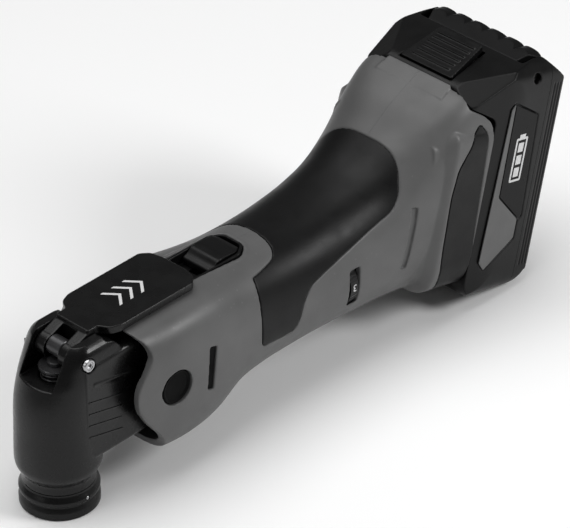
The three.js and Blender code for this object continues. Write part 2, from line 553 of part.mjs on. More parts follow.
// ---------- battery, in its own leaning frame ----------
const CASE_SIDE = [
  [0.3, 15], [4, 9.4], [31.8, 6.9], [43.3, 18.6], [43.3, 113.2], [28.6, 124.8], [12, 121.8], [-12, 114.6],
  [-15.7, 112], [-15.7, 106.6], [-7.8, 103.2], [0.3, 99.4],
];
const CASE_INNER = [
  [3, 17.3], [31.2, 13.4], [40.6, 20.6], [40.6, 111.8], [29.3, 115.5], [18, 115.5], [3, 108.4],
];
const CASE_INNER_FRONT = [[27, 9.5], [33.5, 14], [34.4, 20], [34.4, 107], [32.5, 113.5], [0, 117]];
const CASE_PLAN = [[32.4, -16], [36.7, 8], [PACK.half, 14], [PACK.half, 41.8], [36, 43.5]];
const CASE_FRONT = [
  [30, 6.6], [36.6, 12], [PACK.half, 18], [PACK.half, 111],
  [37, 117.6], [33.8, 122.2], [30.5, 124.6], [0, 125],
];
const STRIPE = [[7.8, 103.6], [10, 106], [10.6, 59.4], [27.4, 45.4], [27.4, 36], [9.4, 23.4], [5.4, 27.6]];
const PANEL = [[10.5, 105.6], [27.4, 97.6], [30, 47], [28.2, 45.6], [11.1, 59.9]];
const LABELS = [
  [7.4, 104.2], [10.2, 107], [28, 98.2], [30.6, 46.4], [28, 44.6], [28, 35.4], [9, 22.6], [4.9, 27.4],
];
const LATCH = { v: -1.15, u: 119.4, tilt: 24.6, length: 25, front: 15.3, rear: 12.6 };
const BLADES = [-16, -6, 6, 16];

// A body built flat about the latch's middle, turned onto the slope of the hood.
const onLatch = (body) => body.rotate([LATCH.tilt, 0, 0]).translate([0, LATCH.v, LATCH.u]);

function latchPrism(grow, [z0, z1], bevel = 0) {
  const end = LATCH.length / 2 + grow;
  const plan = [[LATCH.front + grow, -end], [LATCH.rear + grow, end]];
  return onLatch(planPrism(mirrored(plan), [z0, z1], 1.2, bevel));
}

// What is cut from the hood to slope its shoulder, under a ridge that rises towards the rear.
function hoodSlope(side) {
  const points = [];
  for (const v of [-22, 14]) {
    const [x, u] = [32.5 + (v + 16) * 0.17, 106 + (v + 16) * 0.54];
    for (const [out, up] of [[10, u - 5.2], [10, 150], [-20, 150], [-20, u + 10.4]]) {
      points.push(new THREE.Vector3(side * (x + out), v, up));
    }
  }
  return solid(new ConvexGeometry(points));
}

function addBatteryCase() {
  const { half, split, tower, towerFront } = PACK;
  const form = sidePrism(CASE_SIDE, [-half, half], 3).intersect(planPrism(mirrored(CASE_PLAN), [0, 140], 4));
  let block = form.intersect(frontPrism(mirrored(CASE_FRONT), [-30, 60], 4));
  const cavityFront = frontPrism(mirrored(CASE_INNER_FRONT), [0, 50], 2);
  const cavity = sidePrism(CASE_INNER, [-half, half], 2).intersect(cavityFront);
  block = cut(block, cavity, box([-31.1, 31.1], [16.9, 31.8], [118.3, 130]));
  const towerBlock = box([-tower, tower], [towerFront, 1], [22, 104.5]);
  const grooves = bothSides([21.2, 30]).map((range) => box(range, [-10, -6], [0, 101]));
  const towerRoom = box([-20.4, 20.4], [-12.6, 3.4], [25, 96]);
  const contactSlots = BLADES.map((x) => box([x - 0.9, x + 0.9], [-20, -4], [10, 66]));
  block = cut(join(block, towerBlock), ...grooves, towerRoom, ...contactSlots, latchPrism(0.6, [-9, 10]));
  const panelRecess = bothSides([half - 0.9, 50]).map((range) => sidePrism(LABELS, range));
  block = cut(block, ...panelRecess, hoodSlope(1), hoodSlope(-1));
  place("battery_case", "black", block.intersect(box([-FAR, FAR], [-FAR, split - 0.15], [-FAR, FAR])), pack);
  place("battery_cover", "black", block.intersect(box([-FAR, FAR], [split + 0.15, FAR], [-FAR, FAR])), pack);
  for (const [name, edge, finish] of [["stripe", STRIPE, "grey"], ["panel", PANEL, "black"]]) {
    bothSides([half - 0.6, half - 0.05]).forEach((range, i) => {
      place(`battery_${name}_${i ? "right" : "left"}`, finish, sidePrism(edge, range), pack);
    });
  }
}

function addBatteryTop() {
  const bumps = 6;
  const [side, valley, rise, crown] = [30.5, 123.6, 1.6, 1.4];
  const width = (2 * side) / bumps;
  const corners = [[side, 118.6], [side, valley]];
  for (let i = 0; i < bumps; i += 1) {
    const [left, right] = [side - width * i, side - width * (i + 1)];
    const arch = (x, height) => [x, valley + height + crown * (1 - (x / side) ** 2)];
    corners.push(arch(left - 2.4, rise - 0.5), arch((left + right) / 2, rise));
    corners.push(arch(right + 2.4, rise - 0.5), arch(right, 0));
  }
  corners.push([-side, 118.6]);
  const wedge = sidePrism([[17.4, 118], [17.4, 121.8], [28, 127.2], [30.4, 125], [31.2, 118]], [-FAR, FAR]);
  const taper = planPrism(mirrored([[26.6, 17.2], [side, 27.5], [side, 31.5]]), [110, 130]);
  const bumper = frontPrism(corners.reverse(), [15, 33]).intersect(wedge).intersect(taper);
  place("battery_bumper", "rubber", bumper, pack);
  const ribs = [];
  for (let i = 0; i < 6; i += 1) {
    ribs.push(onLatch(box([-11, 11], [-9 + 3.4 * i, -7.6 + 3.4 * i], [0, 1.2])));
  }
  place("battery_latch", "black", join(latchPrism(0, [-2.4, 0.6], 0.3), ...ribs), pack);
  place("latch_spring", "steel", onLatch(coil(4, 0.5, [-8.4, -2.8], 3)), pack);
}

function addBatteryInside() {
  CELL.columns.forEach((v, column) => {
    for (let i = 0; i < 5; i += 1) {
      const u = CELL.first + CELL.pitch * i;
      const can = alongX(CELL.radius, [-CELL.length / 2, CELL.length / 2 - 1], v, u, 16);
      const cap = alongX(3, [CELL.length / 2 - 2, CELL.length / 2], v, u, 10);
      place(`battery_cell_${column * 5 + i + 1}`, "wrap", join(can, cap), pack);
    }
  });
  const board = box([-20, 20], [0.2, 1.8], [30, 95]);
  const clips = BLADES.map((x) => box([x - 2.4, x + 2.4], [-3.6, 1], [42, 60]));
  place("battery_board", "board", join(board, ...clips), pack);
}

// ---------- the housing's battery interface, on the same lean ----------
function addBatteryMount() {
  const { tower, towerFront } = PACK;
  const back = towerFront - 1;
  const wall = box([-30, 30], [back - 3, back], [30, 88]);
  const rails = bothSides([tower + 0.6, tower + 3.4]).map((range) => box(range, [back - 1, -1.4], [30, 88]));
  const lips = bothSides([21.6, tower + 1]).map((range) => box(range, [-9.6, -6.4], [30, 88]));
  const window = box([-19.4, 19.4], [back - 10, back + 1], [43, 71]);
  const inside = bodyForm(WALL + 1.2, [170, 262], 7);
  const local = inside.translate([0, -PACK.y, 0]).rotate([PACK.lean, 0, 0]);
  place("battery_mount", "black", cut(join(wall, ...rails, ...lips), window).intersect(local), pack);
  const block = box([-19, 19], [back - 8, back - 0.4], [43.4, 70.6]);
  const blades = BLADES.map((x) => box([x - 0.4, x + 0.4], [back - 1, -5], [46, 58]));
  place("terminal_block", "black", join(block, ...blades), pack);
}

addHousing();
addHousingScrews();
addSocketPlugs();
addGearHead();
addLever();
addSpindle();
addMotor();
addControls();
addBatteryCase();
addBatteryTop();
addBatteryInside();
addBatteryMount();

export default tool;
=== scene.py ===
"""The looks of the cordless oscillating multi-tool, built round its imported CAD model.

Shapes are made in millimetres, in the CAD's own frame, and scaled to metres when each piece is
finished. The origin is on the spindle axis, +Y runs along the handle and +X is the dial side.
"""
import json
import math

import bmesh
import bpy
import numpy as np
from mathutils import Matrix, Vector


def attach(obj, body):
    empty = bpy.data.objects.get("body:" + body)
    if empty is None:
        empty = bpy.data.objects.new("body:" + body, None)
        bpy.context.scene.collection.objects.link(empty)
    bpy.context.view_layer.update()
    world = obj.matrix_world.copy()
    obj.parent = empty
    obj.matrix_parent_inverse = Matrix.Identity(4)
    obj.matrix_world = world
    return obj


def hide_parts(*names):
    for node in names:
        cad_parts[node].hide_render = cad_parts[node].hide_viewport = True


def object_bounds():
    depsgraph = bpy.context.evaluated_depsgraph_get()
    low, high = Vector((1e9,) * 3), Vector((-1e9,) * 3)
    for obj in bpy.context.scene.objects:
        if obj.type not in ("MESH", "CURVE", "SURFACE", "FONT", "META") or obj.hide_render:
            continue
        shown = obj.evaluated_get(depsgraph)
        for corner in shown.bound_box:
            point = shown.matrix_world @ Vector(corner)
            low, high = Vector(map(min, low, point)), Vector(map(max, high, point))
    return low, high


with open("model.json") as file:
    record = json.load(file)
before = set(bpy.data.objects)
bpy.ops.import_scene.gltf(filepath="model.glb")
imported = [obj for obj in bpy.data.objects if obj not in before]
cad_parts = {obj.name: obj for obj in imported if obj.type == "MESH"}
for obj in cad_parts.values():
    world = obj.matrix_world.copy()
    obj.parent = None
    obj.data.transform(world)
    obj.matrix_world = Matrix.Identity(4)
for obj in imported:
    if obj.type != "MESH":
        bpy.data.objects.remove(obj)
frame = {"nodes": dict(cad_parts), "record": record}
cad_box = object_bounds()

# Sizes in millimetres, the CAD model's own apart from SEAM, which is finer here.
MM = 0.001  # one millimetre in metres
FAR = 400.0  # past everything, for a tool that cuts right through
GAP = 0.3  # clearance between neighbouring parts
SEAM = 0.03  # half the line between the housing halves
WALL = 3.2  # housing wall
SKIN = 1.5  # rubber and bumper thickness
SLACK = 0.5  # running clearance
LEAN = math.radians(13.5)  # the battery leans back by this much
PACK_Y = 218.5  # where the battery's leaning frame starts
PACK_HALF = 37.4  # half the battery's width
PACK_SPLIT = 33.0  # the line between the battery's case and its cover
TOWER = {"half": 24.0, "front": -15.7}  # the block with the rails
HEAD = {
    "half": 19.0, "bottom": 12.5, "box_bottom": 27.0, "top": 76.8,
    "cheek_back": 24.0, "cheek_inner": 10.0,
}
FORK = {"floor": 66.0, "back": 10.5, "seat": 63.2}
PIVOT = {"y": 2.9, "z": 76.9, "pin": 3.0, "hub": 5.6}
LEVER = {"bottom": 83.3, "top": 87.0, "half": 16.5, "arm_inner": 4.2, "arm_outer": 9.6}
MOTOR_Z = 50.0
DIAL = {"x": 14.4, "y": 155.4, "z": 46.0, "radius": 15.0, "width": 4.6}
SWITCH = {"front": 69.5, "back": 109.0, "half": 9.4, "floor": 76.0}
SOCKET = {"y": 43.4, "z": 50.3, "radius": 8.2}
BOSSES = [(52, 20), (147.5, 31), (190, 28), (218.5, 97)]  # y and z of each housing screw
BOSS_SEAT = -18.0  # where the screw heads sit
BODY_SPAN = (11, 262)  # where the body's form starts and ends along the handle
REAR_START = 170  # where the form joined to the rear flange starts
# Voxel sizes for soften(): smaller keeps finer edges.
VOXEL = {
    "shell": 0.45, "grip": 0.4, "pad": 0.35, "head": 0.3, "lever": 0.28,
    "small": 0.25, "latch": 0.22, "plate": 0.16, "slot_shade_fill": 0.15, "pack": 0.4,
}

# The body's outline along the handle: y, half width, top, bottom, power of the superellipse.
STATIONS = [
    (10, 26.5, 82.8, 23, 4.5),
    (25, 28, 82.8, 17.5, 4.5),
    (42, 30, 82.8, 14.3, 4.2),
    (58, 30.3, 82.8, 13.6, 4),
    (72, 29.8, 82.6, 15.2, 3.6),
    (88, 28.6, 81.8, 19.8, 2.8),
    (105, 28.3, 80.8, 20.5, 2.4),
    (125, 28.6, 80.2, 20.5, 2.3),
    (145, 29.2, 81, 20, 2.3),
    (165, 30.2, 83.6, 19, 2.35),
    (182, 31.6, 88.6, 18, 2.45),
    (198, 33, 97.5, 17.5, 2.95),
    (212, 34.2, 106.2, 18, 4.2),
    (228, 35, 112.5, 19, 6.2),
    (262, 35.6, 116, 20, 6.2),
]

# The head's plan outline up the column: z, half width, middle of the round front, its reach.
COLUMN = [
    (12.5, 16.3, 0, 16.3),
    (16.6, 16.4, 0, 16.4),
    (18.6, 17.5, 0, 17.5),
    (21, 18.7, 0, 18.7),
    (24, 19.2, 0, 19.2),
    (40, 19, 0, 18.8),
    (55, 18.8, 0, 17.8),
    (66, 18.7, 1.5, 15.6),
    (72, 18.5, 3, 14),
    (78.5, 17.9, 4, 11.2),
    (82.3, 16.4, 5, 10.6),
    (84.3, 14.2, 5.5, 9.4),
]


# ---------- mesh helpers, all in millimetres ----------
def new_object(name, verts, faces):
    """A closed mesh with its faces turned outwards."""
    mesh = bpy.data.meshes.new(name)
    mesh.from_pydata([tuple(map(float, v)) for v in verts], [], faces)
    shape = bmesh.new()
    shape.from_mesh(mesh)
    bmesh.ops.remove_doubles(shape, verts=shape.verts, dist=1e-4)
    bmesh.ops.recalc_face_normals(shape, faces=shape.faces)
    shape.to_mesh(mesh)
    shape.free()
    obj = bpy.data.objects.new(name, mesh)
    bpy.context.scene.collection.objects.link(obj)
    return obj


def discard(obj):
    """Removes an object and its mesh."""
    mesh = obj.data
    bpy.data.objects.remove(obj)
    bpy.data.meshes.remove(mesh)


def bake(obj):
    """Applies the object's modifiers to its mesh."""
    graph = bpy.context.evaluated_depsgraph_get()
    mesh = bpy.data.meshes.new_from_object(obj.evaluated_get(graph))
    old = obj.data
    obj.modifiers.clear()
    obj.data = mesh
    bpy.data.meshes.remove(old)
    return obj


def combine(operation, first, others):
    for other in others:
        modifier = first.modifiers.new("combine", "BOOLEAN")
        modifier.operation = operation
        modifier.solver = "MANIFOLD"
        modifier.object = other
    bake(first)
    for other in others:
        discard(other)
    return first


def join(first, *others):
    return combine("UNION", first, others)


def cut(first, *others):
    return combine("DIFFERENCE", first, others)


def common(first, *others):
    return combine("INTERSECT", first, others)


def copy(obj):
    twin = bpy.data.objects.new(obj.name, obj.data.copy())
    bpy.context.scene.collection.objects.link(twin)
    return twin


def moved(obj, matrix):
    obj.data.transform(matrix)
    if matrix.determinant() < 0:
        obj.data.flip_normals()
    return obj


def mirror_x(obj):
    """The same body on the other side of the tool."""
    return moved(obj, Matrix.Scale(-1, 4, (1, 0, 0)))


def leaned(obj):
    """From the battery's leaning frame into the tool's."""
    return moved(obj, Matrix.Translation((0, PACK_Y, 0)) @ Matrix.Rotation(-LEAN, 4, "X"))


def tube(rings, closed=False):
    """A body skinned over rings of equal length: capped at both ends, or closed on itself."""
    count = len(rings[0])
    verts = [point for ring in rings for point in ring]
    faces = []
    for row in range(len(rings) if closed else len(rings) - 1):
        here, there = row * count, (row + 1) % len(rings) * count
        for i in range(count):
            j = (i + 1) % count
            faces.append((here + i, here + j, there + j, there + i))
    if not closed:
        faces.append(tuple(range(count))[::-1])
        faces.append(tuple(range(len(verts) - count, len(verts))))
    return new_object("tube", verts, faces)


def rounded(corners, radius, steps=6):
    """An outline whose corners are rounded by up to the given radius."""
    points = [Vector(corner) for corner in corners]
    result = []
    for i, corner in enumerate(points):
        before, after = points[i - 1], points[(i + 1) % len(points)]
        reach = min(radius, (corner - before).length / 2.1, (corner - after).length / 2.1)
        if reach <= 0:
            result.append(corner)
            continue
        start = corner + (before - corner).normalized() * reach
        end = corner + (after - corner).normalized() * reach
        for step in range(steps + 1):
            t = step / steps
            result.append(start.lerp(corner, t).lerp(corner.lerp(end, t), t))
    return result


def prism(plane, corners, span, radius=0.0, steps=6):
    """An outline given in the plane yz, xy or xz, run along the third axis over a span."""
    third = "xyz".index(({"x", "y", "z"} - set(plane)).pop())
    first, second = "xyz".index(plane[0]), "xyz".index(plane[1])
    rings = []
    for level in span:
        ring = []
        for point in rounded(corners, radius, steps):
            place = [0.0, 0.0, 0.0]
            place[first], place[second], place[third] = point.x, point.y, level
            ring.append(place)
        rings.append(ring)
    return tube(rings)


def box(xs, ys, zs):
    return prism("xy", [(xs[0], ys[0]), (xs[1], ys[0]), (xs[1], ys[1]), (xs[0], ys[1])], zs)


def rod(axis, radius, span, a, b, sides=64):
    """A cylinder along an axis, round the other two coordinates a and b."""
    plane = {"x": "yz", "y": "xz", "z": "xy"}[axis]
    angles = np.linspace(0, 2 * math.pi, sides, endpoint=False)
    corners = [(a + radius * math.cos(t), b + radius * math.sin(t)) for t in angles]
    return prism(plane, corners, span)


def turned(profile, axis="z", at=(0, 0, 0), sides=112):
    """A closed profile of (radius, height) turned about an axis through a point."""
    rings = []
    for angle in np.linspace(0, 2 * math.pi, sides, endpoint=False):
        across, along = math.cos(angle), math.sin(angle)
        if axis == "z":
            ring = [(r * across, r * along, h) for r, h in profile]
        elif axis == "x":
            ring = [(h, r * across, r * along) for r, h in profile]
        else:
            ring = [(r * across, h, r * along) for r, h in profile]
        rings.append([tuple(np.add(point, at)) for point in ring])
    return tube(rings, closed=True)


def mirrored(corners):
    return corners + [(-x, y) for x, y in reversed(corners) if x != 0]


def both_sides(span):
    return [span, (-span[1], -span[0])]


def inset(corners, distance):
    """An outline whose edges all move inwards by a distance."""
    points = [Vector(corner) for corner in corners]
    area = sum(a.cross(b) for a, b in zip(points, points[1:] + points[:1]))
    inwards = 1 if area > 0 else -1
    result = []
    for i, point in enumerate(points):
        before = (point - points[i - 1]).normalized()
        after = (points[(i + 1) % len(points)] - point).normalized()
        left = Vector((-before.y, before.x)) + Vector((-after.y, after.x))
        result.append(point + left * (inwards * distance / (1 + before.dot(after))))
    return [(p.x, p.y) for p in result]


def smooth_rows(table, value):
    """The table's other columns at a value of its first, on a smooth curve."""
    keys = [row[0] for row in table]
    last = len(table) - 2
    i = int(np.clip(np.searchsorted(keys, value, side="right") - 1, 0, last))
    t = float(np.clip((value - keys[i]) / (keys[i + 1] - keys[i]), 0, 1))
    p0, p1 = table[max(i - 1, 0)], table[i]
    p2, p3 = table[i + 1], table[min(i + 2, last + 1)]
    rise = p2[0] - p1[0]
    values = []
    for c in range(1, len(p1)):
        m1 = (p2[c] - p0[c]) / (p2[0] - p0[0]) * rise
        m2 = (p3[c] - p1[c]) / (p3[0] - p1[0]) * rise
        a = 2 * p1[c] - 2 * p2[c] + m1 + m2
        b = -3 * p1[c] + 3 * p2[c] - 2 * m1 - m2
        values.append(((a * t + b) * t + m1) * t + p1[c])
    return values


def body_form(shrink, span, sides=176):
    """The body's outer form, shrunk, between two places along the handle."""
    rings = []
    for y in np.linspace(span[0], span[1], int((span[1] - span[0]) / 1.6) + 2):
        half, top, bottom, power = smooth_rows(STATIONS, y)
        ring = []
        for angle in np.linspace(0, 2 * math.pi, sides, endpoint=False):
            c, s = math.cos(angle), math.sin(angle)
            across = math.copysign(abs(c) ** (2 / power), c)
            up = math.copysign(abs(s) ** (2 / power), s)
            middle, reach = (top + bottom) / 2, (top - bottom) / 2 - shrink
            ring.append(((half - shrink) * across, y, middle + reach * up))
        rings.append(ring)
    return tube(rings)


def coil(radius, wire, span, turns):
    """A round wire wound about +Z from one end of the span to the other."""
    rings = []
    steps = 26 * turns
    for k in range(steps + 1):
        angle = 2 * math.pi * turns * k / steps
        z = span[0] + wire + (span[1] - span[0] - 2 * wire) * k / steps
        ring = []
        for t in np.linspace(0, 2 * math.pi, 12, endpoint=False):
            r = radius + wire * math.cos(t)
            ring.append((r * math.cos(angle), r * math.sin(angle), z + wire * math.sin(t)))
        rings.append(ring)
    return tube(rings)


def soften(obj, voxel, rounds=4):
    """Remeshes a body evenly and eases its edges, as a mould or a casting does."""
    remesh = obj.modifiers.new("remesh", "REMESH")
    remesh.mode = "VOXEL"
    remesh.voxel_size = voxel
    ease = obj.modifiers.new("ease", "SMOOTH")
    ease.factor = 0.5
    ease.iterations = rounds
    return bake(obj)


def lettering(text, size, depth):
    """A short generic mark as a raised body, lying flat and centred on the origin."""
    curve = bpy.data.curves.new("lettering", "FONT")
    curve.body = text
    curve.size = size
    curve.extrude = depth / 2
    curve.align_x, curve.align_y = "CENTER", "CENTER"
    holder = bpy.data.objects.new("lettering", curve)
    bpy.context.scene.collection.objects.link(holder)
    graph = bpy.context.evaluated_depsgraph_get()
    mesh = bpy.data.meshes.new_from_object(holder.evaluated_get(graph))
    bpy.data.objects.remove(holder)
    mark = bpy.data.objects.new("mark", mesh)
    bpy.context.scene.collection.objects.link(mark)
    return mark


# ---------- materials ----------
def shader(name, color, roughness, metallic=0.0, shine=0.5):
    """A new material and its surface node."""
    material = bpy.data.materials.new(name)
    material.use_nodes = True
    surface = material.node_tree.nodes["Principled BSDF"]
    surface.inputs["Metallic"].default_value = metallic
    surface.inputs["Roughness"].default_value = roughness
    surface.inputs["Specular IOR Level"].default_value = shine
    surface.inputs["Base Color"].default_value = (*color, 1)
    return material, surface


def noise(material, scale, detail=2.0, stretch=(1, 1, 1)):
    """A noise texture in the object's own coordinates."""
    nodes, links = material.node_tree.nodes, material.node_tree.links
    place = nodes.new("ShaderNodeTexCoord")
    mapping = nodes.new("ShaderNodeMapping")
    mapping.inputs["Scale"].default_value = stretch
    texture = nodes.new("ShaderNodeTexNoise")
    texture.inputs["Scale"].default_value = scale
    texture.inputs["Detail"].default_value = detail
    links.new(place.outputs["Object"], mapping.inputs["Vector"])
    links.new(mapping.outputs["Vector"], texture.inputs["Vector"])
    return texture.outputs["Fac"]


def remap(material, value, low, high, to_low, to_high):
    """A value carried from one range into another."""
    nodes, links = material.node_tree.nodes, material.node_tree.links
    node = nodes.new("ShaderNodeMapRange")
    node.inputs["From Min"].default_value = low
    node.inputs["From Max"].default_value = high
    node.inputs["To Min"].default_value = to_low
    node.inputs["To Max"].default_value = to_high
    links.new(value, node.inputs["Value"])
    return node.outputs["Result"]


def mix_color(material, factor, first, second):
    """Two colours or textures mixed by a factor."""
    nodes, links = material.node_tree.nodes, material.node_tree.links
    node = nodes.new("ShaderNodeMix")
    node.data_type = "RGBA"
    links.new(factor, node.inputs["Factor"])
    for socket, value in ((node.inputs[6], first), (node.inputs[7], second)):
        if isinstance(value, tuple):
            socket.default_value = (*value, 1)
        else:
            links.new(value, socket)
    return node.outputs[2]


def grained(
    name, color, roughness, grain, depth,
    metallic=0.0, shine=0.5, edge_wear_and_highlight=None, stretch=(1, 1, 1), mottle=0.1,
):
    """A finish with a fine grain, patches of colour and gloss, and paler edges that are partly wear
    and partly a painted edge highlight.
    """
    material, surface = shader(name, color, roughness, metallic, shine)
    nodes, links = material.node_tree.nodes, material.node_tree.links
    patches = noise(material, 38.0, 3.0)
    dark = tuple(channel * (1 - mottle) for channel in color)
    light = tuple(min(channel * (1 + mottle), 1) for channel in color)
    shade = mix_color(material, remap(material, patches, 0.3, 0.7, 0, 1), dark, light)
    if edge_wear_and_highlight:
        # Convex edges turn paler by pointiness: partly edge wear, partly a painted edge highlight.
        curve = nodes.new("ShaderNodeNewGeometry").outputs["Pointiness"]
        worn_and_highlit = remap(material, curve, 0.54, 0.64, 0, 0.6)
        shade = mix_color(material, worn_and_highlit, shade, edge_wear_and_highlight)
    links.new(shade, surface.inputs["Base Color"])
    smears = noise(material, 120.0, 4.0)
    gloss = remap(material, smears, 0.3, 0.7, roughness - 0.05, roughness + 0.06)
    links.new(gloss, surface.inputs["Roughness"])
    fine = noise(material, grain, 3.0, stretch)
    bump = nodes.new("ShaderNodeBump")
    bump.inputs["Strength"].default_value = 1.0
    bump.inputs["Distance"].default_value = depth
    links.new(fine, bump.inputs["Height"])
    links.new(bump.outputs["Normal"], surface.inputs["Normal"])
    return material


def plain(level, tint=0.0):
    """A grey as a colour, with a touch more blue when tinted."""
    return (level, level, level * (1 + tint))


# Each finish's paler edge colour is partly wear and partly a painted edge highlight.
FINISH = {
    "grey": grained(
        "moulded_grey", plain(0.088), 0.42, 1900, 0.00004,
        shine=0.4, edge_wear_and_highlight=plain(0.12),
    ),
    "rubber": grained(
        "grip_rubber", plain(0.0034, 0.03), 0.4, 1500, 0.00005,
        shine=0.17, edge_wear_and_highlight=plain(0.008),
    ),
    "black": grained(
        "moulded_black", plain(0.003, 0.03), 0.33, 1700, 0.00004,
        shine=0.2, edge_wear_and_highlight=plain(0.012),
    ),
    "coated": grained(
        "black_coating", plain(0.0026, 0.03), 0.27, 1300, 0.00003,
        shine=0.28, edge_wear_and_highlight=plain(0.016),
    ),
    "matte": grained(
        "matte_black", plain(0.0018, 0.03), 0.6, 1500, 0.00004,
        shine=0.06, mottle=0.2,
    ),
    "panel": grained("gloss_panel", plain(0.002, 0.05), 0.22, 900, 0.00001, shine=0.12),
    "steel": grained(
        "ground_steel", plain(0.42, 0.02), 0.3, 700, 0.00001, 1.0,
        stretch=(1, 1, 9), mottle=0.06,
    ),
    "dark_steel": grained(
        "blackened_steel", plain(0.06, 0.04), 0.3, 700, 0.00001, 0.7,
        stretch=(1, 1, 9),
    ),
    "copper": grained(
        "windings", (0.38, 0.13, 0.05), 0.35, 500, 0.0001, 0.9,
        stretch=(1, 6, 1),
    ),
    "board": grained("circuit_board", (0.012, 0.07, 0.028), 0.4, 300, 0.00003),
    "wrap": grained("cell_sleeve", (0.03, 0.11, 0.25), 0.35, 250, 0.00002),
    "white": grained("white_print", plain(0.6), 0.5, 1500, 0.00002, mottle=0.04),
}
SHARP = math.radians(42)  # edges turning by more than this stay sharp
SLOT_OF = {part["node"]: part["material_slot"] for part in frame["record"]["subparts"]}
for name, node in frame["nodes"].items():
    for place in node.material_slots:
        place.material = FINISH[SLOT_OF[name]]


def fit_inside(mesh, limits):
    """Holds every vertex of a mesh inside a box."""
    flat = np.empty(len(mesh.vertices) * 3)
    mesh.vertices.foreach_get("co", flat)
    mesh.vertices.foreach_set("co", np.clip(flat.reshape(-1, 3), *limits).ravel())
    mesh.update()


def keep(name, obj, body, nodes, finish):
    """Names a finished body, scales it to metres and gives it its place in the frame."""
    obj.name = obj.data.name = name
    obj.data.transform(Matrix.Scale(MM, 4))
    fit_inside(obj.data, cad_box)
    obj.data.materials.clear()
    obj.data.materials.append(FINISH[finish])
    for polygon in obj.data.polygons:
        polygon.use_smooth = True
    obj.data.set_sharp_from_angle(angle=SHARP)
    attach(obj, body)
    if nodes:
        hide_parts(*nodes)
    return obj


# ---------- housing ----------
SHROUD_EDGE = [
    (24.5, 84), (30, 76.5), (31.5, 71), (27.5, 65), (22, 57), (22, 47), (27, 38), (35, 28),
    (39, 20), (40, 10),
]
GRIP_EDGE = [
    (99.8, 100), (99.8, 75), (98.4, 69.8), (97.3, 60), (97.6, 42.4), (104.3, 41.8), (118.2, 40.4),
    (121.4, 45.3), (123.8, 53.5), (128.5, 59.2), (139, 62), (156, 66.2), (180.9, 73.1),
    (186.4, 78.4), (192, 88.5), (194.4, 94), (194.8, 120), (112, 120),
]
COLLAR_EDGE = [
    (20.1, 60), (20.1, 99.8), (18.4, 109.5), (17, 115.6), (13.5, 118.7), (8, 120), (0, 120.4),
]
BUMPER_EDGE = [
    (236.5, 92.5), (231.6, 99.5), (223.4, 90), (216, 82.5), (211.3, 69.9), (206.1, 43.5),
    (204.6, 32), (203, 8), (232, 8), (226.6, 34), (227.5, 42),
]
SIDE_SLOT = [(61.4, 39.6), (65.1, 38.2), (67.7, 59.8), (63.3, 61.2)]
SIDE_GROOVE = [(191, 72), (183.8, 42.4), (187, 41.6), (194.2, 71)]
# The step across the top of the rear rim, from the side and from the front.
STEP_SIDE = [(221.6, 107.8), (221.6, 110.7), (230, 114.4), (230, 110)]
STEP_FRONT = [(20.8, 90), (20.8, 108.3), (17.4, 118)]
# In the battery's leaning frame: the room for its hood from the side, and the rear flange.
HOOD_EDGE = [
    (-16.1, 160), (-16.1, 106.2), (-8, 102.75), (-2.6, 98.8), (-0.9, 96.2), (-0.3, 93.5),
    (60, 93.5), (60, 160),
]
FLANGE_EDGE = [
    (26, 14.5), (33.5, 18.5), (36.4, 28), (36.4, 90), (34.9, 95.6), (29, 98.6), (18, 100),
]
FLANGE_MIDDLE = 56.0
FLANGE_ROWS = [
    (-34, 0.85), (-31, 0.87), (-29, 0.9), (-27.5, 0.935), (-26, 0.97), (-25, 0.99), (-24, 1),
    (4, 1),
]


def flange_form(shrink):
    """The flange round the rear opening, swelling out of the body behind a hollow curve."""
    outline = rounded(inset(mirrored(FLANGE_EDGE), shrink), 4)
    middle = FLANGE_MIDDLE
    rings = []
    for v, wide in FLANGE_ROWS:
        rings.append([(p.x * wide, v, middle + (p.y - middle) * wide) for p in outline])
    return leaned(tube(rings))


def rear_form(shrink):
    """The rear end of the body with its flange."""
    return join(body_form(shrink, (REAR_START, BODY_SPAN[1])), flange_form(shrink))


def grip_region(grow):
    """Where the rubber grip lies: its outline from the side, less the collar in front."""
    region = prism("yz", inset(GRIP_EDGE, grow), (-FAR, FAR), 3)
    collar = [(x + grow if x else 0, y + grow) for x, y in COLLAR_EDGE]
    return cut(region, prism("xy", mirrored(collar), (55, FAR), 3))


def well_outline(grow):
    """The switch well's outline from above, grown by a distance."""
    half, front, back = SWITCH["half"] + grow, SWITCH["front"], SWITCH["back"]
    corners = [(half, front - grow + 1), (half, back - 7 + grow), (5 + grow, back - 1 + grow)]
    return mirrored(corners)


